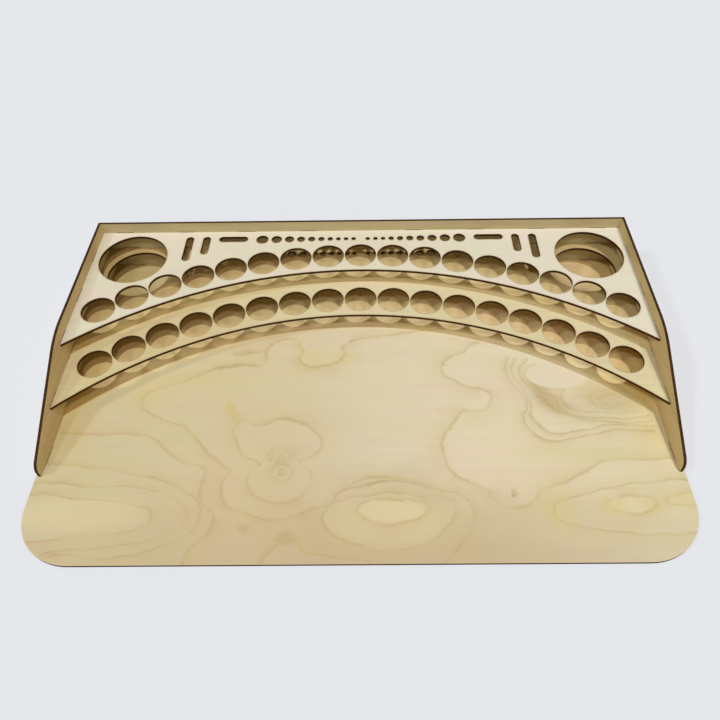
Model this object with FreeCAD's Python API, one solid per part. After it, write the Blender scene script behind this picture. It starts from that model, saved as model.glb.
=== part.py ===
"""Hobby workstation organizer: a flat-pack rack of six laser-cut plywood panels.

Frame: millimetres, +Z up. X runs along the rack, +Y points to its back.
The origin is the middle of the base board's underside.
"""
import FreeCAD, Part
import math
import os

# ---- Driving dimensions ---------------------------------------------------------------
# Plywood and fits
ply = 3.0                       # thickness of every panel
tab_play = 0.1                  # gap round a tab in its slot

# Base board
board_width = 640.0
board_depth = 400.0
board_corner_radius = 57.0      # the two front corners
board_side_margin = 2.5         # board showing outside each side panel
board_back_margin = 3.0         # board showing behind the back panel

# Walls
wall_height = 66.0              # above the board
side_depth = 307.0              # from the back panel's outer face to the side panel's front
side_level_length = 178.0       # level top edge, from the back to the corner of the bend
side_slope_degrees = 22.0
side_bend_radius = 100.0
side_nose_radius = 12.0

# Decks
lower_deck_gap = 25.0           # clear height under the lower deck
upper_deck_gap = 21.0           # clear height between the decks
lower_deck_middle_depth = 117.0  # back panel to the lower deck's front edge, at the middle
lower_front_radius = 458.0      # front edge of the lower deck
deck_step = 48.5                # the upper deck's front edge lies this far behind the lower's
row_setback = 25.0              # bottle row behind the front edge of its deck

# Bottle holes
bottle_hole_diameter = 36.5
bottle_hole_pitch = 38.0        # along the row, centre to centre
bottle_end_margin = 5.0         # least wood between a row's last hole and the side panel

# Cup holes, through both decks
upper_cup_diameter = 79.0
lower_cup_diameter = 75.0
cup_from_walls = 46.5           # centre to the side panel and to the back panel

# Round tool holes, through both decks, from the middle outwards
tool_diameters = (5.0, 5.0, 5.0, 6.0, 7.0, 8.0, 9.0, 10.5, 12.0, 14.0)
tool_middle_spacing = 17.0      # between the two holes nearest the middle
tool_web = 4.25                 # wood left between neighbours
tool_row_from_wall = 14.8

# Slots for flat tools, through both decks
slot_width = 9.0
slot_end_from_wall = 9.3        # back ends of the slots, from the back panel
cross_slot_length = 34.5
cross_slot_from_side = 160.8    # slot centres, from the side panel
short_slot_length = 30.5
short_slot_from_side = 128.5
long_slot_length = 41.5
long_slot_from_side = 108.2

# Tabs and corner fingers
tab_length = 20.0
back_tab_middle_spacing = 129.0  # between the two tabs nearest the middle
back_tab_pitch = 74.5
back_tab_pairs = 4
deck_tab_behind_tip = 0.5       # front end of a deck's first side tab, behind the deck's tip
deck_tab_pitch = 62.0
lower_tab_count = 4             # along each side
upper_tab_count = 3
foot_tab_from_front = 24.0      # centre of a side panel's first foot, from its front
foot_tab_pitch = 84.0
foot_tab_count = 4
corner_finger_count = 3         # along each rear corner

# ---- Derived places -------------------------------------------------------------------
board_front = -board_depth / 2
back_outer = board_depth / 2 - board_back_margin
back_inner = back_outer - ply
side_outer = board_width / 2 - board_side_margin
side_inner = side_outer - ply
side_front = back_outer - side_depth
wall_top = ply + wall_height
lower_deck_bottom = ply + lower_deck_gap
upper_deck_bottom = lower_deck_bottom + ply + upper_deck_gap
arc_centre_y = back_inner - lower_deck_middle_depth - lower_front_radius
upper_front_radius = lower_front_radius + deck_step
finger_height = wall_height / corner_finger_count
overcut = ply                   # how far a cutter runs past both faces

back_tab_xs = [side * (back_tab_middle_spacing / 2 + i * back_tab_pitch)
               for side in (-1, 1) for i in range(back_tab_pairs)]
foot_ys = [side_front + foot_tab_from_front + i * foot_tab_pitch for i in range(foot_tab_count)]


def tip_y(front_radius):
    """Where a deck's front arc meets the side panels."""
    return arc_centre_y + math.sqrt(front_radius ** 2 - side_inner ** 2)


def deck_tab_ys(front_radius, count):
    """Centres of a deck's tabs along one side, from the tip back."""
    first = tip_y(front_radius) + deck_tab_behind_tip + tab_length / 2
    return [first + i * deck_tab_pitch for i in range(count)]


upper_tab_ys = deck_tab_ys(upper_front_radius, upper_tab_count)
lower_tab_ys = deck_tab_ys(lower_front_radius, lower_tab_count)


# ---- Shapes ---------------------------------------------------------------------------
def box(x, y, z):
    """Block from three (low, high) pairs."""
    corner = FreeCAD.Vector(x[0], y[0], z[0])
    return Part.makeBox(x[1] - x[0], y[1] - y[0], z[1] - z[0], corner)


def span(centre, length):
    """(low, high) of a length about its centre."""
    return centre - length / 2, centre + length / 2


def outline(corners):
    """Closed wire through (point, radius) corners, each rounded to its radius."""
    starts = []
    ends = []
    edges = []
    for i, (corner, radius) in enumerate(corners):
        to_last = (corners[i - 1][0] - corner).normalize()
        to_next = (corners[(i + 1) % len(corners)][0] - corner).normalize()
        half = to_last.getAngle(to_next) / 2
        bisector = (to_last + to_next).normalize()
        start = corner + to_last * (radius / math.tan(half))
        end = corner + to_next * (radius / math.tan(half))
        middle = corner + bisector * (radius / math.sin(half) - radius)
        if radius:
            edges.append(Part.Arc(start, middle, end).toShape())
        starts.append(start)
        ends.append(end)
    for i, end in enumerate(ends):
        edges.append(Part.makeLine(end, starts[(i + 1) % len(corners)]))
    return Part.Wire(Part.__sortEdges__(edges))


def round_hole(diameter, x, y, bottom):
    """Cutter for a round hole in a deck whose underside is at bottom."""
    start = FreeCAD.Vector(x, y, bottom - overcut)
    return Part.makeCylinder(diameter / 2, ply + 2 * overcut, start)


def long_hole(length, runs_back, x, bottom):
    """Cutter for a round-ended slot, its back edge slot_end_from_wall off the back panel."""
    reach = (length - slot_width) / 2
    half_x, half_y = (slot_width / 2, reach) if runs_back else (reach, slot_width / 2)
    shift_x, shift_y = (0, reach) if runs_back else (reach, 0)
    y = back_inner - slot_end_from_wall - (length if runs_back else slot_width) / 2
    through = (bottom - overcut, bottom + ply + overcut)
    middle = box((x - half_x, x + half_x), (y - half_y, y + half_y), through)
    ends = [round_hole(slot_width, x + s * shift_x, y + s * shift_y, bottom) for s in (-1, 1)]
    return middle.fuse(ends)


def plate(corners, bottom):
    """Horizontal panel from a closed outline of (x, y, radius) corners."""
    wire = outline([(FreeCAD.Vector(x, y, bottom), radius) for x, y, radius in corners])
    return Part.Face(wire).extrude(FreeCAD.Vector(0, 0, ply))


# ---- Holes of the decks ---------------------------------------------------------------
def bottle_row(front_radius, bottom):
    """Bottle holes at an even pitch along an arc, as many as fit between the side panels."""
    row_radius = front_radius + row_setback
    step = 2 * math.asin(bottle_hole_pitch / (2 * row_radius))
    reach = side_inner - bottle_end_margin - bottle_hole_diameter / 2
    each_side = int(math.asin(reach / row_radius) / step)
    cutters = []
    for i in range(-each_side, each_side + 1):
        x = row_radius * math.sin(i * step)
        y = arc_centre_y + row_radius * math.cos(i * step)
        cutters.append(round_hole(bottle_hole_diameter, x, y, bottom))
    return cutters


def tool_holes(bottom):
    """Round holes of growing size from the middle outwards, up to the cross slots."""
    row_end = side_inner - cross_slot_from_side - cross_slot_length / 2 - tool_web
    y = back_inner - tool_row_from_wall
    x = tool_middle_spacing / 2
    cutters = []
    for i, diameter in enumerate(tool_diameters):
        if i:
            x += (tool_diameters[i - 1] + diameter) / 2 + tool_web
        if x + diameter / 2 > row_end:
            break
        cutters += [round_hole(diameter, s * x, y, bottom) for s in (-1, 1)]
    return cutters


def tool_slots(bottom):
    """The cross slot and the short and long slots of each side."""
    kinds = (
        (cross_slot_length, False, cross_slot_from_side),
        (short_slot_length, True, short_slot_from_side),
        (long_slot_length, True, long_slot_from_side),
    )
    return [long_hole(length, runs_back, s * (side_inner - from_side), bottom)
            for length, runs_back, from_side in kinds for s in (-1, 1)]


def cup_holes(diameter, bottom):
    """One large hole in each rear corner."""
    x = side_inner - cup_from_walls
    y = back_inner - cup_from_walls
    return [round_hole(diameter, s * x, y, bottom) for s in (-1, 1)]


# ---- Panels ---------------------------------------------------------------------------
def base_board():
    """The work surface, with slots for the feet of the walls."""
    right = board_width / 2
    back = board_depth / 2
    corners = [(-right, board_front, board_corner_radius), (right, board_front, board_corner_radius),
               (right, back, 0), (-right, back, 0)]
    slot = tab_length + 2 * tab_play
    through = (-overcut, ply + overcut)
    wall_slots = [box(span(x, slot), (back_inner - tab_play, back_outer + tab_play), through)
                  for x in back_tab_xs]
    side_slots = [box(span(s * (side_inner + ply / 2), ply + 2 * tab_play), span(y, slot), through)
                  for y in foot_ys for s in (-1, 1)]
    return plate(corners, 0).cut(wall_slots + side_slots)


def deck(front_radius, bottom, tab_ys, cup_diameter):
    """One perforated shelf with tabs along its back and sides."""
    tip = tip_y(front_radius)
    arc_top = FreeCAD.Vector(0, arc_centre_y + front_radius, bottom)
    left, right = [FreeCAD.Vector(s * side_inner, tip, bottom) for s in (-1, 1)]
    back_right, back_left = [FreeCAD.Vector(s * side_inner, back_inner, bottom) for s in (1, -1)]
    edges = [Part.Arc(left, arc_top, right).toShape(), Part.makeLine(right, back_right),
             Part.makeLine(back_right, back_left), Part.makeLine(back_left, left)]
    panel = Part.Face(Part.Wire(edges)).extrude(FreeCAD.Vector(0, 0, ply))
    thickness = (bottom, bottom + ply)
    tabs = [box(span(x, tab_length), (back_inner - ply, back_outer), thickness) for x in back_tab_xs]
    tabs += [box(sorted((s * side_inner, s * side_outer)), span(y, tab_length), thickness)
             for y in tab_ys for s in (-1, 1)]
    holes = (bottle_row(front_radius, bottom) + tool_holes(bottom) + tool_slots(bottom)
             + cup_holes(cup_diameter, bottom))
    return panel.fuse(tabs).removeSplitter().cut(holes)


def deck_slot(x, y, bottom):
    """Cutter for a deck's tab in a wall, from the tab's extents."""
    grown = [(low - tab_play, high + tab_play) for low, high in (x, y, (bottom, bottom + ply))]
    return box(*grown)


def back_panel():
    """Rear wall: feet below, slots for both decks, and the outer corner fingers."""
    y = (back_inner, back_outer)
    pieces = [box(span(x, tab_length), y, (0, 2 * ply)) for x in back_tab_xs]
    for i in range(0, corner_finger_count, 2):
        low = ply + i * finger_height
        pieces.append(box((-side_outer, side_outer), y, (low, low + finger_height)))
    body = box((-side_inner, side_inner), y, (ply, wall_top)).fuse(pieces).removeSplitter()
    slots = [deck_slot(span(x, tab_length), y, bottom)
             for x in back_tab_xs for bottom in (lower_deck_bottom, upper_deck_bottom)]
    return body.cut(slots)


def side_panel(side):
    """Side wall: level at the back, sloping down to a rounded nose; side is -1 or 1."""
    slope = math.tan(math.radians(side_slope_degrees))
    bend_y = back_outer - side_level_length
    nose_z = wall_top - slope * (bend_y - side_front)
    profile = [(back_inner, ply, 0), (side_front, ply, 0), (side_front, nose_z, side_nose_radius),
               (bend_y, wall_top, side_bend_radius), (back_inner, wall_top, 0)]
    x = sorted((side * side_inner, side * side_outer))
    wire = outline([(FreeCAD.Vector(x[0], y, z), radius) for y, z, radius in profile])
    body = Part.Face(wire).extrude(FreeCAD.Vector(ply, 0, 0))
    pieces = [box(x, span(y, tab_length), (0, 2 * ply)) for y in foot_ys]
    for i in range(1, corner_finger_count, 2):
        low = ply + i * finger_height
        pieces.append(box(x, (back_inner - ply, back_outer), (low, low + finger_height)))
    body = body.fuse(pieces).removeSplitter()
    slots = [deck_slot(x, span(y, tab_length), lower_deck_bottom) for y in lower_tab_ys]
    slots += [deck_slot(x, span(y, tab_length), upper_deck_bottom) for y in upper_tab_ys]
    return body.cut(slots)


panels = {
    "base_board": base_board(),
    "back_panel": back_panel(),
    "left_side_panel": side_panel(-1),
    "right_side_panel": side_panel(1),
    "lower_deck": deck(lower_front_radius, lower_deck_bottom, lower_tab_ys, lower_cup_diameter),
    "upper_deck": deck(upper_front_radius, upper_deck_bottom, upper_tab_ys, upper_cup_diameter),
}

os.makedirs("parts", exist_ok=True)
for name, shape in panels.items():
    solid = shape.Solids[0]
    print(name, "solids", len(shape.Solids), "valid", solid.isValid(), "volume", round(solid.Volume))
    solid.exportStep(f"parts/{name}.step")
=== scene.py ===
import math

import bpy
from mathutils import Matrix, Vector

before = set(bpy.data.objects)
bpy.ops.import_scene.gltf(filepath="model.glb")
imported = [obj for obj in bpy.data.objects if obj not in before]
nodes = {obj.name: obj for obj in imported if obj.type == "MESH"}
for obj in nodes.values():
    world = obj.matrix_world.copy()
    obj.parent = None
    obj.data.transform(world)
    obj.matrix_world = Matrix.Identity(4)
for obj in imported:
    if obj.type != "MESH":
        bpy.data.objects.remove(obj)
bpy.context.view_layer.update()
scene = bpy.context.scene

# ---- Measures of the part in mm, as its solids have them --------------------------------
PLY = 3.0
SIDE_INNER = 314.5                          # inner face of a side wall, from the middle
SIDE_MIDDLE = SIDE_INNER + PLY / 2
SIDE_FRONT = -110.0                         # front end of a side wall
BACK_INNER = 194.0                          # inner face of the back wall
BACK_MIDDLE = BACK_INNER + PLY / 2
LOWER_TOP, UPPER_TOP = 31.0, 55.0           # upper faces of the decks
ARC_CENTRE_Y = -381.0                       # middle of the arcs of both decks
LOWER_FRONT, UPPER_FRONT = 458.0, 506.5     # radii of the decks' front edges
LOWER_ROW, UPPER_ROW = 483.0, 531.5         # radii of the rows of bottle holes
HOLE_RADIUS, HOLE_PITCH = 18.25, 38.0       # bottle holes
HOLES_EACH_SIDE = 8.0                       # of the one in the middle
CUP_X, CUP_Y = 268.0, 147.5
LOWER_CUP, UPPER_CUP = 75.0, 79.0           # diameters
TOOL_HOLES = (5, 5, 5, 6, 7, 8, 9, 10.5, 12, 14)    # diameters, from the middle outwards
TOOL_FIRST_X, TOOL_GAP, TOOL_Y = 8.5, 4.25, 179.2
SLOT_RADIUS, SLOT_BACK_Y = 4.5, 184.7
# each tool slot: distance from the side wall, length, whether it runs from front to back
SLOTS = ((160.8, 34.5, False), (128.5, 30.5, True), (108.2, 41.5, True))
TAB_HALF_LENGTH, TAB_HALF_WIDTH = 10.05, 1.55       # of the slots that the tabs sit in


def first_tab(front_radius):
    """The y of a deck's first side tab, just behind the tip of its front edge."""
    return ARC_CENTRE_Y + math.sqrt(front_radius ** 2 - SIDE_INNER ** 2) + 10.5


# each row of tabs: the first one, the pitch and the number
BACK_TABS = (64.5, 74.5, 4)
FEET = (SIDE_FRONT + 24.0, 84.0, 4)
LOWER_TABS = (first_tab(LOWER_FRONT), 62.0, 4)
UPPER_TABS = (first_tab(UPPER_FRONT), 62.0, 3)


# ---- Node building --------------------------------------------------------------------
class Value:
    """A node's output that can be added, multiplied and so on."""

    def __init__(self, graph, socket):
        self.graph = graph
        self.socket = socket

    def __add__(self, other):
        return self.graph.math("ADD", self, other)

    def __sub__(self, other):
        return self.graph.math("SUBTRACT", self, other)

    def __mul__(self, other):
        return self.graph.math("MULTIPLY", self, other)

    def __truediv__(self, other):
        return self.graph.math("DIVIDE", self, other)

    def __abs__(self):
        return self.graph.math("ABSOLUTE", self)


class Graph:
    """Fills one node tree, of a material or of the world."""

    def __init__(self, tree):
        self.tree = tree
        tree.nodes.clear()

    def node(self, kind, **settings):
        made = self.tree.nodes.new("ShaderNode" + kind)
        for key, value in settings.items():
            setattr(made, key, value)
        return made

    def output(self, made, name=0):
        return Value(self, made.outputs[name])

    def feed(self, socket, value):
        if isinstance(value, Value):
            self.tree.links.new(value.socket, socket)
        else:
            socket.default_value = value

    def fed(self, made, values):
        """Feed values to a node's inputs in turn."""
        for socket, value in zip(made.inputs, values):
            self.feed(socket, value)
        return made

    def math(self, operation, *values, clamp=False):
        made = self.node("Math", operation=operation, use_clamp=clamp)
        return self.output(self.fed(made, values))

    def vector_math(self, operation, *values):
        return self.fed(self.node("VectorMath", operation=operation), values)

    def scaled(self, vector, factors):
        return self.output(self.vector_math("MULTIPLY", vector, factors))

    def shifted(self, vector, amount):
        return self.output(self.vector_math("ADD", vector, amount))

    def length(self, vector):
        return self.output(self.vector_math("LENGTH", vector), "Value")

    def offset(self, vector, centre, angle):
        """How far the vector lies from centre in the direction angle."""
        across, up = math.cos(angle), math.sin(angle)
        made = self.vector_math("DOT_PRODUCT", vector, (across, up, 0))
        return self.output(made, "Value") - (centre[0] * across + centre[1] * up)

    def parts(self, vector):
        made = self.fed(self.node("SeparateXYZ"), [vector])
        return [Value(self, out) for out in made.outputs]

    def joined(self, x, y, z):
        return self.output(self.fed(self.node("CombineXYZ"), (x, y, z)))

    def noise_node(self, vector, detail, roughness):
        made = self.node("TexNoise")
        self.feed(made.inputs["Vector"], vector)
        made.inputs["Scale"].default_value = 1.0
        made.inputs["Detail"].default_value = detail
        made.inputs["Roughness"].default_value = roughness
        return made

    def noise(self, vector, detail=2.0, roughness=0.5):
        return self.output(self.noise_node(vector, detail, roughness))

    def wander(self, vector, detail, roughness, reach):
        """A vector that wanders over reach, half of it to either side of zero."""
        made = self.noise_node(vector, detail, roughness)
        split = self.fed(self.node("SeparateColor"), [self.output(made, "Color")])
        found = self.joined(*(Value(self, out) for out in split.outputs))
        return self.scaled(self.shifted(found, (-0.5, -0.5, -0.5)), reach)

    def span(self, value, low, high, to_low=0.0, to_high=1.0, smooth=True):
        """Maps low to high onto to_low to to_high, and stays level outside."""
        made = self.node("MapRange", interpolation_type="SMOOTHSTEP" if smooth else "LINEAR")
        return self.output(self.fed(made, (value, low, high, to_low, to_high)))

    def curve(self, value, points):
        """A smooth curve through points, whose x and y both lie from 0 to 1."""
        made = self.node("FloatCurve")
        self.feed(made.inputs["Value"], value)
        mapping = made.mapping
        line = mapping.curves[0]
        line.points[0].location = points[0]
        line.points[1].location = points[-1]
        for point in points[1:-1]:
            line.points.new(*point)
        mapping.update()
        return self.output(made)

    def blend(self, share, first, second, kind="MIX"):
        made = self.node("Mix", data_type="RGBA", blend_type=kind)
        self.feed(made.inputs[0], share)
        self.feed(made.inputs[6], first)        # 6 and 7 are the colour inputs A and B
        self.feed(made.inputs[7], second)
        return self.output(made, 2)

    def tinted(self, colour, tint):
        return self.blend(1.0, colour, tint, "MULTIPLY")

    def shader(self, kind, colour, strength=1.0):
        """A shader of one colour."""
        made = self.node(kind)
        made.inputs["Color"].default_value = (*colour, 1)
        if "Strength" in made.inputs:
            self.feed(made.inputs["Strength"], strength)
        return self.output(made)

    def both(self, first, second):
        """Two shaders added."""
        return self.output(self.fed(self.node("AddShader"), (first, second)))

    def with_backdrop(self, lighting, backdrop):
        """The shader backdrop where it is seen, also in metal or through glass, else lighting."""
        ray = self.node("LightPath")
        seen = self.math("MAXIMUM", self.output(ray, "Is Camera Ray"),
                         self.output(ray, "Is Glossy Ray"))
        seen = self.math("MAXIMUM", seen, self.output(ray, "Is Transmission Ray"))
        return self.output(self.fed(self.node("MixShader"), (seen, lighting, backdrop)))


def new_material(name):
    """A material and the graph that fills it."""
    material = bpy.data.materials.new(name)
    material.use_nodes = True
    return material, Graph(material.node_tree)


def tone(red, green, blue):
    """A linear colour from its usual 0 to 255 values."""
    def linear(c):
        c /= 255
        return c / 12.92 if c <= 0.04045 else ((c + 0.055) / 1.055) ** 2.4
    return (linear(red), linear(green), linear(blue), 1.0)


# ---- Growth-ring figure of the base board ---------------------------------------------
RING_WIDTH = 3.3
RING_PROFILE = [(0.0, 0.0), (0.405, 0.0), (0.455, 0.13), (0.485, 0.6), (0.505, 0.92),
                (0.53, 0.62), (0.57, 0.35), (0.65, 0.19), (0.8, 0.09), (1.0, 0.0)]


def ring_line(graph, miss):
    """Dark along a ring line, with a crisper outer side and a long soft inner one."""
    share = graph.math("MULTIPLY_ADD", miss, 1 / (RING_WIDTH * 16), 0.5, clamp=True)
    return graph.curve(share, RING_PROFILE)


def arc(graph, place, centre, points, closed):
    """One ring line as a distance from centre that changes with direction."""
    polar = []
    for x, y in points:
        angle = math.atan2(y - centre[1], x - centre[0])
        polar.append([angle, math.hypot(x - centre[0], y - centre[1])])
    for i in range(1, len(polar)):
        while polar[i][0] - polar[i - 1][0] > math.pi:
            polar[i][0] -= 2 * math.pi
        while polar[i][0] - polar[i - 1][0] < -math.pi:
            polar[i][0] += 2 * math.pi
    if polar[-1][0] < polar[0][0]:
        polar.reverse()
    middle = (polar[0][0] + polar[-1][0]) / 2
    half = (polar[-1][0] - polar[0][0]) / 2
    if closed:
        first, last = polar[0], polar[-1]
        gap = 2 * math.pi - 2 * half
        seam = (first[1] + last[1]) / 2
        middle = first[0] - gap / 2 + math.pi
        polar = [[middle - math.pi, seam]] + polar + [[middle + math.pi, seam]]
    longest = max(r for a, r in polar)
    knots = [((a - middle) / (2 * math.pi) + 0.5, r / longest) for a, r in polar]
    if not closed:
        knots = [(0.0, knots[0][1])] * (knots[0][0] > 0.002) + knots
        knots = knots + [(1.0, knots[-1][1])] * (knots[-1][0] < 0.998)
    x = graph.offset(place, centre, middle)
    y = graph.offset(place, centre, middle + math.pi / 2)
    angle = graph.math("ARCTAN2", y, x)
    share = graph.math("MULTIPLY_ADD", angle, 1 / (2 * math.pi), 0.5)
    radius = graph.curve(share, knots)
    miss = graph.math("MULTIPLY_ADD", radius, -longest, graph.length(graph.joined(x, y, 0.0)))
    band = ring_line(graph, miss)
    if closed:
        return band
    fade = 3.0 / max(polar[0][1], polar[-1][1])
    return band * graph.span(abs(angle), half + fade, half)


def trail(graph, place, points):
    """One ring line as a height that changes along the board."""
    points = sorted(points)
    low_x, high_x = points[0][0], points[-1][0]
    low_y = min(y for x, y in points) - 1
    reach = max(y for x, y in points) + 1 - low_y
    knots = [((x - low_x) / (high_x - low_x), (y - low_y) / reach) for x, y in points]
    x, y = graph.parts(place)[:2]
    share = graph.span(x, low_x, high_x, smooth=False)
    height = graph.curve(share, knots)
    miss = graph.math("MULTIPLY_ADD", height, -reach, y) - low_y
    band = ring_line(graph, miss)
    centre = (low_x + high_x) / 2
    half = (high_x - low_x) / 2
    return band * graph.span(abs(x - centre), half + 4, half)


def blot(graph, place, centre, size, edge, angle=0.0):
    """A soft oval: 1 in its middle and 0 outside."""
    if angle:
        u = graph.offset(place, centre, math.radians(angle))
        v = graph.offset(place, centre, math.radians(angle + 90))
        seen = graph.joined(u / size[0], v / size[1], 0.0)
    else:
        seen = graph.scaled(graph.shifted(place, (-centre[0], -centre[1], 0)),
                            (1 / size[0], 1 / size[1], 0))
    far = graph.length(seen)
    return graph.span(far, 1 + edge, 1 - edge)


def dabbed(graph, place, colour, edge, shade, marks):
    """Soft ovals of one shade. A mark is a centre, a size, an amount and maybe an angle."""
    for centre, size, amount, *angle in marks:
        colour = graph.blend(blot(graph, place, centre, size, edge, *angle) * amount,
                             colour, shade)
    return colour


def loop(x, y, half_x, half_y, start, end):
    """Points along an oval, from start to end in degrees."""
    turns = [math.radians(start + (end - start) * i / 8) for i in range(9)]
    return [(x + half_x * math.cos(a), y + half_y * math.sin(a)) for a in turns]


# curved ring lines in mm: a centre, points along the line, and whether it closes
arcs = [
    # the double knot with its lobes
    ((-79, -90), [(-60.3, -95), (-49.1, -106.7), (-49.1, -123.3), (-59.5, -135.8), (-76.2, -140),
                  (-94.9, -135.8), (-109.5, -119.2), (-107.4, -106.7), (-99.1, -98.3),
                  (-117.8, -87.9), (-126.2, -69.2), (-129.5, -54.6), (-122, -45), (-113.7, -51.7),
                  (-97, -50.4), (-84.5, -45), (-67.8, -47.5), (-51.2, -56.7), (-38.7, -73.3),
                  (-44.9, -85.8)], True),
    ((-77, -107.5), loop(-77, -107.5, 10.0, 8.6, -180, 170), True),
    ((-79, -92), loop(-79, -92, 9.5, 9.5, -15, 195), False),
    ((-79, -92), loop(-79, -92, 13.5, 12.5, 15, 165), False),
    # the long contour, in pieces
    ((-43.7, 51.7), [(-4, 64), (-11.6, 60), (-21.2, 51.7),
                     (-18.7, 41.3), (-28.2, 30.8), (-44.9, 25.4), (-61.6, 26.7), (-68.7, 37.1),
                     (-64.5, 47.5), (-69.9, 60)], False),
    ((-88.7, 39.2), [(-69.9, 60), (-84.5, 65), (-99.1, 59.2), (-107.4, 47.5), (-105.3, 35),
                     (-111.6, 24.6)], False),
    ((-113.7, -27.5), [(-111.6, 24.6), (-138.7, 27.5), (-163.7, 22.5), (-184.5, 10), (-222, -6.7),
                       (-234.5, -17.1), (-224.1, -33.8), (-201.2, -46.3), (-176.2, -58.8),
                       (-159.5, -77.5), (-142.8, -94.2), (-127, -104.6)], False),
    ((-84.5, -115), [(-127, -104.6), (-134.5, -123.3), (-128.3, -140), (-105.3, -150.4),
                     (-72, -156.7), (-47, -146.3), (-22, -133.8)], False),
    ((32.2, -173.3), [(-22, -133.8), (11.3, -121.3), (32.2, -117.1), (53, -120), (78, -128.3),
                      (98.8, -133.8), (108, -148.3), (103, -169.2), (90.5, -185.8),
                      (78, -200.4)], False),
    # left tongues, nested
    ((-297, -120), [(-322, -62.9), (-280.3, -61.7), (-238.7, -61.7), (-213.7, -67.1),
                    (-197, -81.7), (-176.2, -96.3), (-153.3, -106.7), (-155.3, -127.5),
                    (-142.8, -148.3), (-136.6, -158.8), (-142.8, -173.3), (-155.3, -185.8),
                    (-159.5, -200.4)], False),
    ((-322, -152), [(-322, -97.5), (-280.3, -98.3), (-238.7, -104.6), (-197, -115),
                    (-167.8, -129.6), (-151.2, -152.5), (-155.3, -165), (-172, -177.5),
                    (-197, -187.9), (-238.7, -193.3), (-280.3, -190.8)], False),
    ((-322, -152), [(-322, -119.2), (-272, -121.3), (-230.3, -121.3), (-197, -127.5),
                    (-172, -140), (-163.7, -154.6), (-174.1, -167.1), (-197, -177.5),
                    (-238.7, -183.8), (-288.7, -189.2)], False),
    ((-322, -152), [(-322, -130.8), (-288.7, -131.7), (-247, -136.7), (-213.7, -142.1),
                    (-197, -152.5), (-205.3, -162.9), (-238.7, -170), (-280.3, -174.2),
                    (-313.7, -177.5)], False),
    # rings in the middle of the front
    ((28, -157), [(-34.5, -156.7), (-30.3, -146.3), (-9.5, -135.8), (19.7, -131.7), (53, -132.9),
                  (82.2, -135.8), (90.5, -142.1), (88.4, -156.7), (78, -169.2), (61.3, -181.7),
                  (40.5, -187.1), (11.3, -185.8), (-13.7, -177.5), (-30.3, -165)], True),
    ((32, -149), [(-1.2, -148.3), (7.2, -140), (32.2, -137.9), (53, -138.8), (65.5, -145),
                  (57.2, -156.7), (36.3, -161.7), (23.8, -162.9), (7.2, -156.7)], True),
    # the arch at the front edge
    ((-66, -203), [(-88.7, -200.4), (-78.3, -185.8), (-72, -177.5), (-67.8, -172.5),
                   (-59.5, -177.5), (-51.2, -186.7), (-30.3, -192.1), (-5.3, -196.3),
                   (11.3, -200.4)], False),
    # the contour right of the middle, in pieces
    ((123.8, 20.4), [(134.3, 55.8), (115.5, 43.3), (98.8, 35), (90.5, 20.4), (96.8, 7.9),
                     (107.2, 0.8), (128, -6.7)], False),
    ((115.5, -20), [(128, -6.7), (140.5, -19.2), (136.3, -29.6), (111.3, -35.8)], False),
    ((132.2, -77.5), [(111.3, -35.8), (96.8, -52.5), (86.3, -69.2), (85.5, -90), (94.7, -110.8),
                      (111.3, -121.3), (125.9, -129.6)], False),
    ((149.7, -127.5), [(125.9, -129.6), (132.2, -140), (148.8, -146.3), (165.5, -140),
                       (173.8, -129.6)], False),
    # rings at the right of the front
    ((260, -144.6), [(236.3, -143.3), (248.8, -137.9), (265.5, -136.7), (282.2, -142.1),
                     (273.8, -150.4), (257.2, -153.3), (242.6, -149.2)], True),
    ((322, -148), [(322, -119.2), (294.7, -120), (261.3, -123.3), (232.2, -129.6), (203, -137.9),
                   (184.3, -152.5), (198.8, -162.9), (228, -169.2), (261.3, -173.3),
                   (290.5, -173.3), (322, -168.3)], False),
    ((326, -139), [(322, -131.7), (303, -135.8), (294.7, -140), (307.2, -144.2),
                   (322, -145)], False),
    # the dense bends round the knot at the right
    ((290, 20), [(165.5, 35), (161.3, 14.2), (169.7, -6.7), (178, -23.3), (171.8, -44.2),
                 (178, -62.9), (194.7, -73.3), (219.7, -70), (244.7, -65), (273.8, -60.8),
                 (303, -61.7)], False),
    ((290, 20), [(173.8, 35), (167.6, 14.2), (175.9, -6.7), (182.2, -27.5), (180.1, -44.2),
                 (190.5, -58.8), (203, -64.2), (232.2, -60.8), (278, -54.6), (303, -56.7)], False),
    ((290, 20), [(186.3, 32.9), (175.9, 14.2), (182.2, -2.5), (192.6, -15), (203, -31.7),
                 (219.7, -42.1), (240.5, -48.3), (261.3, -50.4), (303, -50.4)], False),
    ((290, 20), [(194.7, 24.6), (188.4, 5.8), (194.7, -10.8), (209.3, -19.2), (211.3, -31.7),
                 (232.2, -44.2), (261.3, -46.3), (303, -43.3)], False),
    ((285, 0), [(219.7, -10.8), (215.5, -23.3), (223.8, -33.8), (240.5, -37.9), (269.7, -39.2),
                (290.5, -36.7)], False),
    ((268, -25), [(247, -20), (256, -13), (270, -11), (290, -14), (302, -22), (292, -31),
                  (270, -34), (252, -31)], True),
    ((268, -25), [(256, -22), (264, -18), (278, -18), (288, -23), (276, -28), (261, -28)], True),
]

# flatter ring lines, by their points alone
trails = [
    [(173.8, -129.6), (198.8, -121.3), (223.8, -108.8), (248.8, -96.3), (278, -96.3),
     (322, -93.3)],
    [(-160, 23), (-146, 24.5), (-130, 27.5), (-112, 24.6)],
    [(-12, 60.5), (7, 66), (36, 70.2), (78, 77), (110, 80)],
    [(-4, -119), (14, -114), (30, -113.5), (46, -117)],
    [(-146, 50), (-138, 41), (-128, 45), (-116, 46)],
]


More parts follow.
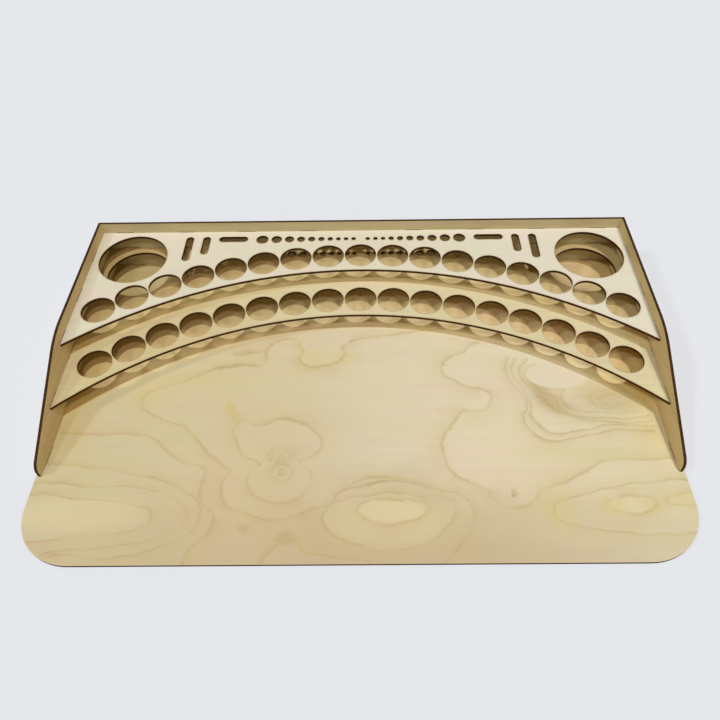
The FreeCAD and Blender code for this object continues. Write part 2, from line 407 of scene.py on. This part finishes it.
# ---- Plywood --------------------------------------------------------------------------
def plywood(name, axes, low_face, high_face, seed, dressing, figure=1.0):
    """Birch plywood between two face tones. axes gives the grain, cross-grain and thickness
    directions as 0, 1 and 2, and figure says how strong the grain is."""
    material, graph = new_material(name)
    spot = graph.node("TexCoord")
    place = graph.scaled(graph.output(spot, "Object"), (1000, 1000, 1000))
    mm = graph.parts(place)
    normal = graph.parts(graph.output(spot, "Normal"))
    along, across, through = (mm[i] for i in axes)
    shift = seed * 37.0

    def grain(length, breadth, detail=2.0, roughness=0.5, offset=0.0):
        return graph.noise(graph.joined(along / length + shift + offset, across / breadth,
                                        through / 40 + offset), detail, roughness) - 0.5

    cloud = grain(260, 75, 2)
    streak = grain(110, 5.5, 3, 0.6, 3.1)
    fibre = grain(16, 0.55, 2, 0.6, 7.7)
    ripple = grain(7, 42, 2, 0.5, 11.3)
    pores = graph.span(grain(5.5, 0.42, 1, 0.5, 17.9), 0.17, 0.27)
    pores = pores * graph.span(grain(60, 9, 1, 0.5, 23.1), -0.16, 0.1)
    hairs = graph.span(grain(34, 0.55, 1, 0.5, 29.3), 0.255, 0.30)
    hairs = hairs * graph.span(grain(90, 30, 1, 0.5, 31.7), 0.0, 0.16)
    light = cloud * 0.22 + streak * 0.33 * figure + fibre * 0.22 + ripple * 0.09
    share = graph.math("MULTIPLY_ADD", light, 2.2, 0.5, clamp=True)
    colour = graph.blend(share, low_face, high_face)
    # patches that lean to straw or to pink
    hue = graph.span(grain(85, 26, 3, 0.6, 41.3), -0.16, 0.16)
    colour = graph.tinted(colour, graph.blend(hue, (0.97, 1.0, 0.945, 1), (1.0, 0.97, 0.985, 1)))
    colour = graph.blend(pores * 0.26, colour, tone(150, 121, 74))
    colour = graph.blend(hairs * 0.35, colour, tone(143, 110, 63))
    colour = dressing(graph, place, mm, colour)

    # cut edges: browned by the laser, three plies with darker glue lines
    ply = graph.math("FRACT", through * (1 / PLY) + 0.001)
    glue = graph.math("ABSOLUTE", graph.math("ABSOLUTE", ply - 0.5) - 0.167)
    glue = graph.span(glue, 0.055, 0.02)
    scorch = graph.noise(graph.joined(mm[0] / 2.2, mm[1] / 2.2, mm[2] / 6 + shift), 3, 0.6)
    comb = graph.noise(graph.joined(mm[0] / 0.35, mm[1] / 0.35, mm[2] / 5), 1, 0.5)
    char = graph.blend(graph.span(scorch, 0.3, 0.72), tone(46, 29, 13), tone(85, 56, 26))
    char = graph.blend(graph.span(comb, 0.35, 0.7, 0.0, 0.45), char, tone(35, 21, 9))
    char = graph.blend(glue * 0.7, char, tone(24, 15, 6))
    edge = graph.math("LESS_THAN", abs(normal[axes[2]]), 0.5)
    colour = graph.blend(edge, colour, char)

    shader = graph.node("BsdfPrincipled")
    graph.feed(shader.inputs["Base Color"], colour)
    rough = graph.span(streak + edge * 0.5, -0.25, 0.6, 0.56, 0.86)
    graph.feed(shader.inputs["Roughness"], rough)
    shader.inputs["Specular IOR Level"].default_value = 0.12
    bump = graph.node("Bump")
    bump.inputs["Strength"].default_value = 0.35
    bump.inputs["Distance"].default_value = 0.00012
    height = fibre * 0.9 + streak * 0.35 - pores * 0.5
    height = height + edge * (comb * 1.6)
    graph.feed(bump.inputs["Height"], height)
    graph.feed(shader.inputs["Normal"], graph.output(bump))
    graph.fed(graph.node("OutputMaterial"), [graph.output(shader)])
    return material


def board_figure(graph, place, mm, colour):
    """The ring contours, knots and oval patch on the upper face of the base board."""
    wander = graph.wander(graph.scaled(place, (1 / 15, 1 / 15, 0)), 4, 0.74, (6.5, 6.5, 0))
    feather = graph.noise(graph.scaled(place, (1 / 26, 1 / 1.7, 0)), 2, 0.6) - 0.5
    wander = graph.shifted(wander, graph.joined(feather * 7.0, feather * 0.8, 0.0))
    flat = graph.shifted(graph.scaled(place, (1, 1, 0)), wander)
    vary = graph.noise(graph.scaled(place, (1 / 38, 1 / 30, 0)), 2, 0.5)
    lines = None
    for centre, points, closed in arcs:
        band = arc(graph, flat, centre, points, closed)
        lines = band if lines is None else graph.math("MAXIMUM", lines, band)
    for points in trails:
        lines = graph.math("MAXIMUM", lines, trail(graph, flat, points))
    lines = lines * graph.span(vary, 0.28, 0.66, 0.4, 1.0)
    # the lines are weaker round the knot at the right
    lines = lines * (blot(graph, place, (262, -2), (62, 40), 0.6) * -0.55 + 1.0)

    # broad fields of another shade, with loose outlines
    drift = graph.wander(graph.scaled(place, (1 / 70, 1 / 45, 0)), 2, 0.6, (110, 75, 0))
    loose = graph.shifted(flat, drift)
    for centre, size, amount, shade in (
            ((-240, -120), (150, 95), 0.5, tone(211, 198, 154)),
            ((-190, 30), (150, 70), 0.45, tone(220, 205, 158)),
            ((265, -120), (110, 80), 0.5, tone(217, 205, 163)),
            ((70, -10), (120, 110), 0.35, tone(228, 210, 177)),
            ((20, -195), (240, 66), 0.9, tone(194, 176, 140)),
            ((-100, -100), (62, 80), 0.3, tone(218, 196, 155)),
            ((150, -100), (60, 60), 0.25, tone(229, 210, 177))):
        colour = dabbed(graph, loose, colour, 0.8, shade, [(centre, size, amount)])
    # pale wood inside the rings
    colour = dabbed(graph, flat, colour, 0.45, tone(224, 212, 167), (
        ((32, -150), (30, 11), 0.36), ((28, -159), (58, 26), 0.35),
        ((258, -145), (20, 8), 0.4), ((-270, -150), (66, 18), 0.35)))

    # the ring lines, stronger in some places, with a straw or pink halo
    accent = 0.0
    for centre, size, amount in (
            ((235, -38), (75, 45), 0.35), ((-70, -46), (24, 7), 0.8),
            ((-232, -17), (12, 12), 0.6), ((-62, 33), (14, 14), 0.6),
            ((-30, 34), (18, 16), 0.6), ((-14, 55), (20, 12), 0.5),
            ((187, -150), (11, 12), 0.1), ((30, -120), (30, 6), 0.5),
            ((105, 25), (18, 20), 0.4), ((-145, 27), (20, 6), 0.5)):
        accent = graph.math("MULTIPLY_ADD", blot(graph, flat, centre, size, 0.7), amount, accent)
    halo = graph.math("POWER", lines, 0.62)
    lines = lines * graph.math("ADD", accent, 1.0)
    straw = graph.noise(graph.scaled(place, (1 / 55, 1 / 40, 0)), 1, 0.5)
    straw = straw - graph.math("MAXIMUM", mm[0], 0.0) * 0.0015
    soft = graph.blend(graph.span(straw, 0.4, 0.6), tone(218, 203, 141), tone(214, 185, 141))
    colour = graph.blend(halo * 0.42, colour, soft)
    colour = graph.blend(graph.math("MULTIPLY", lines, 0.42, clamp=True), colour,
                         tone(165, 141, 96))

    # yellowish wood beside the lines
    colour = dabbed(graph, flat, colour, 0.8, tone(210, 196, 134), (
        ((190, -149), (15, 17), 0.5), ((241, -146), (12, 7), 0.5), ((278, -145), (11, 7), 0.45),
        ((316, -139), (20, 8), 0.5), ((262, -4), (48, 20), 0.4), ((-232, -12), (16, 16), 0.4),
        ((-30, 36), (22, 12), 0.35), ((-62, 34), (15, 17), 0.35), ((215, -88), (50, 7), 0.3),
        ((-185, 6), (60, 8), 0.3)))
    # the double knot: its two lobes, core and tail
    colour = dabbed(graph, flat, colour, 0.5, tone(205, 194, 158), (
        ((-88, -70), (36, 24), 0.3), ((-80, -119), (26, 18), 0.3)))
    colour = dabbed(graph, flat, colour, 0.3, tone(188, 172, 112), (
        ((-77, -107.5), (6.2, 5.2), 0.5),))
    colour = dabbed(graph, flat, colour, 0.5, tone(203, 186, 122), (
        ((-134.5, -36), (5.2, 17), 0.62, 27),))
    # small brown flecks, and the dark wood in the bends at the right
    for edge, mark in (
            (0.5, ((-79, -94), (6.5, 7.5), 0.2)),
            (0.6, ((-67, -176), (9, 6), 0.3)),
            (0.7, ((-107, -166), (5, 4), 0.3)),
            (0.6, ((150, -131), (3.0, 4.5), 0.35, -20)),
            (0.5, ((148, -133), (1.6, 1.3), 0.6)),
            (0.7, ((-134, 46), (12, 5), 0.22, 10)),
            (0.8, ((194, -10), (8, 24), 0.3, 20)),
            (0.8, ((214, -31), (24, 9), 0.3, -25)),
            (0.9, ((268, -22), (32, 15), 0.34)),
            (0.9, ((197, -10), (14, 20), 0.28, 35))):
        colour = dabbed(graph, flat, colour, edge, tone(172, 145, 88), [mark])
    # the oval patch of inlaid veneer
    patch = blot(graph, place, (216, 10), (33.5, 18), 0.035)
    return graph.blend(patch, colour, tone(219, 209, 182))


def from_nearest(graph, u, row):
    """How far u is from the middle of the nearest tab in a row of them."""
    first, pitch, count = row
    step = graph.math("ROUND", (u - first) / pitch)
    step = graph.math("MINIMUM", graph.math("MAXIMUM", step, 0.0), count - 1.0)
    return abs(u - first - step * pitch)


def tab_slots(graph, u, v, row, middle):
    """Distance to the rims of a row of tab slots that runs along u at height middle."""
    du = from_nearest(graph, u, row) - TAB_HALF_LENGTH
    dv = abs(v - middle) - TAB_HALF_WIDTH
    outside = graph.length(graph.joined(graph.math("MAXIMUM", du, 0.0),
                                        graph.math("MAXIMUM", dv, 0.0), 0.0))
    inside = graph.math("MINIMUM", graph.math("MAXIMUM", du, dv), 0.0)
    return abs(outside + inside)


def tab_gaps(graph, u, v, row, top, reach=0.85):
    """The dark gap left in each slot beside its tab, where v is just over top."""
    inside = graph.span(from_nearest(graph, u, row), 10.3, 9.7)
    return inside * graph.span(v - top, reach, reach * 0.6) * graph.span(v - top, -0.1, 0.0)


def gapped(graph, colour, gaps):
    """Dark lines where pieces meet."""
    for gap in gaps:
        colour = graph.blend(gap * 0.68, colour, tone(59, 37, 17))
    return colour


def scorched(graph, place, colour, nearest):
    """Smoke and a browned rim beside a laser cut."""
    patchy = graph.noise(graph.scaled(place, (1 / 9, 1 / 9, 1 / 9)), 3, 0.6)
    smoke = graph.span(nearest, 2.6, 0.2) * graph.span(patchy, 0.3, 0.75, 0.08, 0.42)
    colour = graph.blend(smoke, colour, tone(176, 138, 83))
    rim = graph.span(nearest, 0.5, 0.12, 0.0, 0.72)
    return graph.blend(rim, colour, tone(83, 53, 26))


def back_burn(graph, place, mm, colour):
    """The back wall's slots for the tabs of both decks."""
    x, z = mm[0], mm[2]
    rows = [tab_slots(graph, abs(x), z, BACK_TABS, top - PLY / 2)
            for top in (LOWER_TOP, UPPER_TOP)]
    colour = scorched(graph, place, colour, graph.math("MINIMUM", *rows))
    return gapped(graph, colour, [tab_gaps(graph, abs(x), z, BACK_TABS, top, 1.2)
                                  for top in (LOWER_TOP, UPPER_TOP)])


def side_burn(graph, place, mm, colour):
    """A side wall's slots for the tabs of both decks."""
    x, y, z = mm
    lower = tab_slots(graph, y, z, LOWER_TABS, LOWER_TOP - PLY / 2)
    upper = tab_slots(graph, y, z, UPPER_TABS, UPPER_TOP - PLY / 2)
    colour = scorched(graph, place, colour, graph.math("MINIMUM", lower, upper))
    # the seam over the lower deck, on the inner face alone
    seam = graph.span(z - LOWER_TOP, 0.8, 0.5) * graph.span(z - LOWER_TOP, -0.1, 0.0)
    seam = seam * graph.math("LESS_THAN", abs(x), SIDE_MIDDLE)
    return gapped(graph, colour, [seam * 0.55,
                                  tab_gaps(graph, y, z, LOWER_TABS, LOWER_TOP, 1.5),
                                  tab_gaps(graph, y, z, UPPER_TABS, UPPER_TOP, 1.7)])


def arc_radius(graph, place):
    """Distance from the middle of the decks' arcs."""
    return graph.length(graph.shifted(graph.scaled(place, (1, 1, 0)), (0, -ARC_CENTRE_Y, 0)))


def painted_under_deck_shade(graph, place, colour, front_radius, deep_shade):
    """Painted bounce light just behind the front edge of the deck above, and painted shade further
    back.
    """
    radius = arc_radius(graph, place)
    # painted bounce light near the front edge, warmer and brighter; painted shade further back,
    # from the deep tint
    tint = graph.blend(graph.span(radius, front_radius + 14, front_radius + 44),
                       (1.18, 1.05, 0.83, 1), deep_shade)
    return graph.blend(graph.span(radius, front_radius - 1, front_radius + 10), colour,
                       graph.tinted(colour, tint))


def board_dressing(graph, place, mm, colour):
    """Painted light falloff, paler to the right; painted warm shade by the walls; painted shade
    under the decks; and dark at the joints.
    """
    x, y = mm[:2]
    # painted light falloff: darker and yellower to the left, paler and cooler to the right
    fade = graph.blend(graph.span(x, -300, 300), (0.83, 0.82, 0.765, 1), (1.05, 1.075, 1.12, 1))
    colour = graph.tinted(colour, fade)
    colour = board_figure(graph, place, mm, colour)
    # painted warm shade and bounce light on the board beside the side walls, fading out at their
    # front ends
    painted_wall_shade = graph.span(abs(x), 262, 310) * graph.span(y, -108, -70)
    colour = graph.blend(painted_wall_shade, colour, graph.tinted(colour, (1.01, 0.965, 0.80, 1)))
    # painted shade under the lower deck, browner to the right, with painted bounce light just
    # behind its front edge
    deep_shade = graph.blend(graph.span(x, -120, 260), (0.94, 0.82, 0.61, 1), (0.94, 0.77, 0.53, 1))
    colour = painted_under_deck_shade(graph, place, colour, LOWER_FRONT, deep_shade)
    back = tab_slots(graph, abs(x), y, BACK_TABS, BACK_MIDDLE)
    feet = tab_slots(graph, y, abs(x), FEET, SIDE_MIDDLE)
    colour = scorched(graph, place, colour, graph.math("MINIMUM", back, feet))
    # a line along the foot of each side wall, and the gaps in the slots of the walls' tabs
    foot = graph.span(abs(x), 313.7, 314.4) * graph.span(y, SIDE_FRONT + 4, SIDE_FRONT + 10)
    return gapped(graph, colour, [
        foot * 0.5, tab_gaps(graph, abs(x), y * -1.0, BACK_TABS, -BACK_INNER),
        tab_gaps(graph, y, abs(x) * -1.0, FEET, -SIDE_INNER, 0.8)])


def bottle_rims(graph, x, y, radius, row_radius):
    """Distance to the rims of a deck's bottle holes."""
    step = 2 * math.asin(HOLE_PITCH / 2 / row_radius)
    angle = graph.math("ARCTAN2", x, y - ARC_CENTRE_Y)
    turn = graph.math("ROUND", angle / step)
    turn = graph.math("MINIMUM", graph.math("MAXIMUM", turn, -HOLES_EACH_SIDE), HOLES_EACH_SIDE)
    along = (angle - turn * step) * row_radius
    hole = graph.length(graph.joined(along, radius - row_radius, 0.0))
    return abs(hole - HOLE_RADIUS)


def ring_rim(graph, place, x, y, diameter):
    """Distance to the rim of a round hole."""
    far = graph.length(graph.shifted(place, (-x, -y, 0)))
    return abs(far - diameter / 2)


def slot_rim(graph, place, from_side, length, runs_back):
    """Distance to the rim of a tool slot with round ends."""
    half = length / 2 - SLOT_RADIUS
    middle_y = SLOT_BACK_Y - (length / 2 if runs_back else SLOT_RADIUS)
    off = graph.shifted(place, (-(SIDE_INNER - from_side), -middle_y, 0))
    x, y = graph.parts(off)[:2]
    if runs_back:
        y = graph.math("MAXIMUM", abs(y) - half, 0.0)
    else:
        x = graph.math("MAXIMUM", abs(x) - half, 0.0)
    far = graph.length(graph.joined(x, y, 0.0))
    return abs(far - SLOT_RADIUS)


def deck_burn(front_radius, row_radius, cup_diameter, fade, roof_radius=None):
    """A dressing with painted light falloff across a deck, painted shade under the deck above, if
    any, and smoke and scorch beside everything the laser cut in a deck. fade gives two x and the
    painted tints there, and roof_radius the front edge of the deck above, if any."""
    def dressing(graph, place, mm, colour):
        x, y = mm[:2]
        radius = arc_radius(graph, place)
        nearest = abs(radius - front_radius)
        low_x, high_x, low_tint, high_tint = fade
        # painted light falloff: darker to the left, lighter to the right
        colour = graph.tinted(colour, graph.blend(graph.span(x, low_x, high_x), low_tint,
                                                  high_tint))
        # painted shade under the deck above, with painted bounce light just behind its front edge
        if roof_radius:
            colour = painted_under_deck_shade(graph, place, colour, roof_radius, (0.81, 0.70, 0.54, 1))
        nearest = graph.math("MINIMUM", nearest, bottle_rims(graph, x, y, radius, row_radius))
        mirrored = graph.joined(abs(x), y, 0.0)
        nearest = graph.math("MINIMUM", nearest,
                             ring_rim(graph, mirrored, CUP_X, CUP_Y, cup_diameter))
        tool_x = TOOL_FIRST_X
        for i, size in enumerate(TOOL_HOLES):
            if i:
                tool_x += (TOOL_HOLES[i - 1] + size) / 2 + TOOL_GAP
            nearest = graph.math("MINIMUM", nearest,
                                 ring_rim(graph, mirrored, tool_x, TOOL_Y, size))
        for slot in SLOTS:
            nearest = graph.math("MINIMUM", nearest, slot_rim(graph, mirrored, *slot))
        return scorched(graph, place, colour, nearest)
    return dressing


# painted light falloff on each deck: two x and the tints there, lighter to the right
LOWER_LIGHT_FALLOFF = (-300, 60, (0.93, 0.905, 0.84, 1), (1.02, 1.04, 1.08, 1))
UPPER_LIGHT_FALLOFF = (-60, 300, (1, 1, 1, 1), (1.03, 1.04, 1.08, 1))
materials = {
    "base_board": plywood("birch_base", (0, 1, 2), tone(204, 193, 162), tone(223, 216, 189), 1,
                          board_dressing),
    "lower_deck": plywood("birch_lower_deck", (0, 1, 2), tone(204, 189, 147),
                          tone(220, 210, 172), 2,
                          deck_burn(LOWER_FRONT, LOWER_ROW, LOWER_CUP, LOWER_LIGHT_FALLOFF, UPPER_FRONT),
                          figure=1.3),
    "upper_deck": plywood("birch_upper_deck", (0, 1, 2), tone(214, 206, 183),
                          tone(224, 219, 198), 3,
                          deck_burn(UPPER_FRONT, UPPER_ROW, UPPER_CUP, UPPER_LIGHT_FALLOFF), figure=1.4),
    "back_panel": plywood("birch_back", (0, 2, 1), tone(181, 167, 126), tone(198, 188, 151), 4,
                          back_burn, figure=1.8),
    "left_side_panel": plywood("birch_left", (1, 2, 0), tone(201, 178, 127),
                               tone(221, 200, 152), 5, side_burn, figure=1.8),
    "right_side_panel": plywood("birch_right", (1, 2, 0), tone(201, 177, 124),
                                tone(220, 198, 151), 6, side_burn, figure=1.8),
}
for name, material in materials.items():
    slots = nodes[name].data.materials
    slots.clear()
    slots.append(material)

# ---- Stage ----------------------------------------------------------------------------
BACKDROP = (0.783, 0.799, 0.831)        # what the camera and reflections see behind the part
PAPER = (0.747, 0.790, 0.843)           # the floor's own colour
# light from the sky: from all over, from low down all round, and from low in front
SKY_EVEN = (0.143, 0.114, 0.074)
SKY_LOW = (0.134, 0.122, 0.102)
SKY_FRONT = (0.488, 0.394, 0.268)
# what each lamp gives the floor
KEY = (0.406, 0.417, 0.449)
FRONT = (0.161, 0.142, 0.130)
LEFT = (0.118, 0.118, 0.122)
FAR_LEFT = (0.138, 0.150, 0.157)

# a floor of 12 m by 12 m, a hair under the part
floor_mesh = bpy.data.meshes.new("floor")
floor_mesh.from_pydata([(-6, -6, 0), (6, -6, 0), (6, 6, 0), (-6, 6, 0)], [], [(0, 1, 2, 3)])
floor = bpy.data.objects.new("floor", floor_mesh)
scene.collection.objects.link(floor)
floor.location = (0, 0, -0.0002)
# seen, it is half paper, which keeps the shadow, and half the backdrop's even glow
floor_material, sheet = new_material("floor_paper")
paper = sheet.shader("BsdfDiffuse", PAPER)
dim = sheet.shader("BsdfDiffuse", [part * 0.5 for part in PAPER])
shine = sheet.shader("Emission", [part * 0.5 for part in BACKDROP])
sheet.fed(sheet.node("OutputMaterial"), [sheet.with_backdrop(paper, sheet.both(dim, shine))])
floor_mesh.materials.append(floor_material)

world = bpy.data.worlds.new("studio")
scene.world = world
world.use_nodes = True
sky = Graph(world.node_tree)
toward = sky.parts(sky.output(sky.node("TexCoord"), "Generated"))
low = sky.math("SUBTRACT", 1.0, abs(toward[2]))
front = low * sky.math("MAXIMUM", toward[1] * -1.0, 0.0)
even_light = sky.shader("Background", SKY_EVEN)
low_light = sky.shader("Background", SKY_LOW, low)
front_light = sky.shader("Background", SKY_FRONT, front)
ambient = sky.both(sky.both(even_light, low_light), front_light)
behind = sky.shader("Background", BACKDROP)
sky.fed(sky.node("OutputWorld"), [sky.with_backdrop(ambient, behind)])


def sun(name, slope_x, slope_y, breadth, light):
    """A far lamp. light is what it gives the floor, and breadth its angular size. It stands
    slope_x and slope_y off the vertical, as parts of its height."""
    data = bpy.data.lights.new(name, "SUN")
    strongest = max(light)
    data.energy = strongest * math.pi * math.sqrt(1 + slope_x ** 2 + slope_y ** 2)
    data.angle = breadth
    data.color = [part / strongest for part in light]
    made = bpy.data.objects.new(name, data)
    scene.collection.objects.link(made)
    made.rotation_euler = Vector((-slope_x, -slope_y, -1)).to_track_quat("-Z", "Y").to_euler()


sun("key_lamp", 0.17, -0.23, 0.03, KEY)
sun("front_lamp", 0.32, -0.57, 0.09, FRONT)
sun("left_lamp", -0.37, -0.57, 0.11, LEFT)
sun("far_left_lamp", -0.87, -0.25, 0.10, FAR_LEFT)

# ---- Camera, fitted to the photo --------------------------------------------------------
camera_data = bpy.data.cameras.new("camera")
camera = bpy.data.objects.new("camera", camera_data)
scene.collection.objects.link(camera)
camera.location = (0.019564, -0.411206, 0.565525)
camera.rotation_euler = [math.radians(a) for a in (38.80935, 0.68347, -0.11948)]
camera_data.sensor_width = 36.0
camera_data.lens = 31.81
camera_data.shift_x = -0.0179
camera_data.shift_y = -0.0076
camera_data.clip_start = 0.01
scene.camera = camera

scene.view_settings.view_transform = "Standard"
